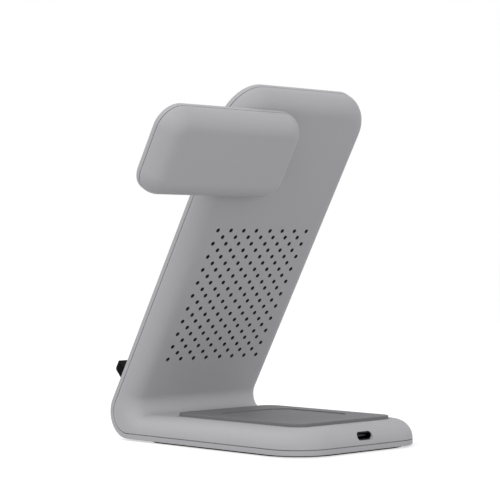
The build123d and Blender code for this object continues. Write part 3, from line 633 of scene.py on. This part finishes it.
class CHARGER_OT_inlet(bpy.types.Operator):
    """Black tongue of the inlet with a row of gold contacts on each face"""
    bl_idname = "charger.inlet"
    bl_label = "Inlet contacts"

    def execute(self, context):
        colours, sizes = context.scene.charger_colours, context.scene.charger_sizes
        black = finish_material(
            "tongue_black", skin_group(), colours.tongue, bump=0.2, depth=0.03 * MM,
            roughness=0.5, roughness_spread=0.1, shade_spread=0.1, grain_size=sizes.shell_grain)
        gold = finish_material(
            "contact_gold", brushed_group(), colours.gold, bump=0.1, depth=0.01 * MM,
            roughness=0.3, roughness_spread=0.1, shade_spread=0.1, stretch=(8000.0, 800.0, 8000.0),
            shader_values={"Metallic": 1.0})
        dress(("usb_c_tongue",), black)
        low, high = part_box("usb_c_tongue")
        middle = (low + high) / 2
        for side, face, turn in (("top", high.z, 0.0), ("under", low.z, math.pi)):
            piece = node_piece(
                "contacts_" + side, contact_tree(),
                {"Contacts": sizes.contact_count, "Pitch": sizes.contact_pitch, "Width": sizes.contact_width,
                 "Length": sizes.contact_length, "Rise": sizes.contact_rise, "Contact Finish": gold},
                Matrix.Translation((middle.x, middle.y, face)) @ Matrix.Rotation(turn, 4, "Y"))
        return {"FINISHED"}


def soft_lamp(name, place, aim, size, power):
    """Square area lamp that faces a point."""
    lamp = bpy.data.lights.new(name, "AREA")
    lamp.shape, lamp.size, lamp.energy = "SQUARE", size, power
    made = bpy.data.objects.new(name, lamp)
    made.location = place
    made.rotation_euler = (Vector(aim) - Vector(place)).to_track_quat("-Z", "Y").to_euler()
    bpy.context.scene.collection.objects.link(made)


def seen_directly(tree):
    """1 for rays of the camera, of gloss and of glass, 0 for light on surfaces."""
    ray = add(tree, "ShaderNodeLightPath").outputs
    either = maths(tree, "MAXIMUM", ray["Is Camera Ray"], ray["Is Glossy Ray"])
    return maths(tree, "MAXIMUM", either, ray["Is Transmission Ray"])


class CHARGER_OT_stage(bpy.types.Operator):
    """Pale floor, white surround, soft lamps and the camera"""
    bl_idname = "charger.stage"
    bl_label = "Stage"

    def execute(self, context):
        scene, stage = context.scene, context.scene.charger_stage
        scene.view_settings.view_transform = "Standard"
        world = bpy.data.worlds.new("white_surround")
        world.use_nodes = True
        scene.world = world
        sky = world.node_tree.nodes["Background"]
        sky.inputs["Color"].default_value = (1, 1, 1, 1)
        level = maths(world.node_tree, "MAXIMUM", seen_directly(world.node_tree), stage.sky)
        world.node_tree.links.new(level, sky.inputs["Strength"])

        mesh = bpy.data.meshes.new("floor")
        half = FLOOR_HALF
        corners = ((-half, -half), (half, -half), (half, half), (-half, half))
        mesh.from_pydata([(x, y, -stage.floor_gap) for x, y in corners], [], [(0, 1, 2, 3)])
        floor = bpy.data.objects.new("floor", mesh)
        scene.collection.objects.link(floor)
        pale = bpy.data.materials.new("pale_table")
        pale.use_nodes = True
        tree = pale.node_tree
        shader = tree.nodes["Principled BSDF"]
        shader.inputs["Base Color"].default_value = (*stage.floor, 1)
        shader.inputs["Roughness"].default_value = FLOOR_ROUGHNESS
        shader.inputs["Specular IOR Level"].default_value = 0.0
        shader.inputs["Emission Color"].default_value = (1, 1, 1, 1)
        glow = maths(tree, "MULTIPLY", seen_directly(tree), 1 - stage.floor[0] * stage.sky)
        tree.links.new(glow, shader.inputs["Emission Strength"])
        mesh.materials.append(pale)

        for name in LAMPS:
            soft_lamp(name, getattr(stage, name + "_place"), stage.lamp_aim, stage.lamp_size,
                      getattr(stage, name))

        camera = bpy.data.objects.new("camera", bpy.data.cameras.new("camera"))
        camera.data.lens = stage.lens
        camera.data.sensor_width = SENSOR_WIDTH
        camera.data.clip_end = FAR_CLIP
        camera.location = stage.camera_place
        camera.rotation_euler = stage.camera_turn
        scene.collection.objects.link(camera)
        scene.camera = camera
        return {"FINISHED"}


OPERATORS = (CHARGER_OT_shells, CHARGER_OT_vents, CHARGER_OT_soft_parts, CHARGER_OT_puck, CHARGER_OT_windings,
             CHARGER_OT_charging_stack, CHARGER_OT_boards, CHARGER_OT_metal_parts, CHARGER_OT_inlet,
             CHARGER_OT_stage)


class CHARGER_PT_panel(bpy.types.Panel):
    """Steps that dress the charger"""
    bl_idname = "CHARGER_PT_panel"
    bl_label = "Charger"
    bl_space_type = "VIEW_3D"
    bl_region_type = "UI"
    bl_category = "Charger"

    def draw(self, context):
        for group in ("charger_colours", "charger_sizes", "charger_stage"):
            values = getattr(context.scene, group)
            box = self.layout.box()
            for name in values.bl_rna.properties.keys():
                if name not in ("rna_type", "name"):
                    box.prop(values, name)
        for operator in OPERATORS:
            self.layout.operator(operator.bl_idname)


GROUPS = {"charger_colours": ChargerColours, "charger_sizes": ChargerSizes, "charger_stage": ChargerStage}
CLASSES = tuple(GROUPS.values()) + OPERATORS + (CHARGER_PT_panel,)


def register():
    for made in CLASSES:
        bpy.utils.register_class(made)
    for name, group in GROUPS.items():
        setattr(bpy.types.Scene, name, PointerProperty(type=group))


def unregister():
    for name in GROUPS:
        delattr(bpy.types.Scene, name)
    for made in reversed(CLASSES):
        bpy.utils.unregister_class(made)


def main():
    register()
    bpy.ops.charger.shells()
    bpy.ops.charger.vents()
    bpy.ops.charger.soft_parts()
    bpy.ops.charger.puck()
    bpy.ops.charger.windings()
    bpy.ops.charger.charging_stack()
    bpy.ops.charger.boards()
    bpy.ops.charger.metal_parts()
    bpy.ops.charger.inlet()
    bpy.ops.charger.stage()


if __name__ == "__main__":
    main()
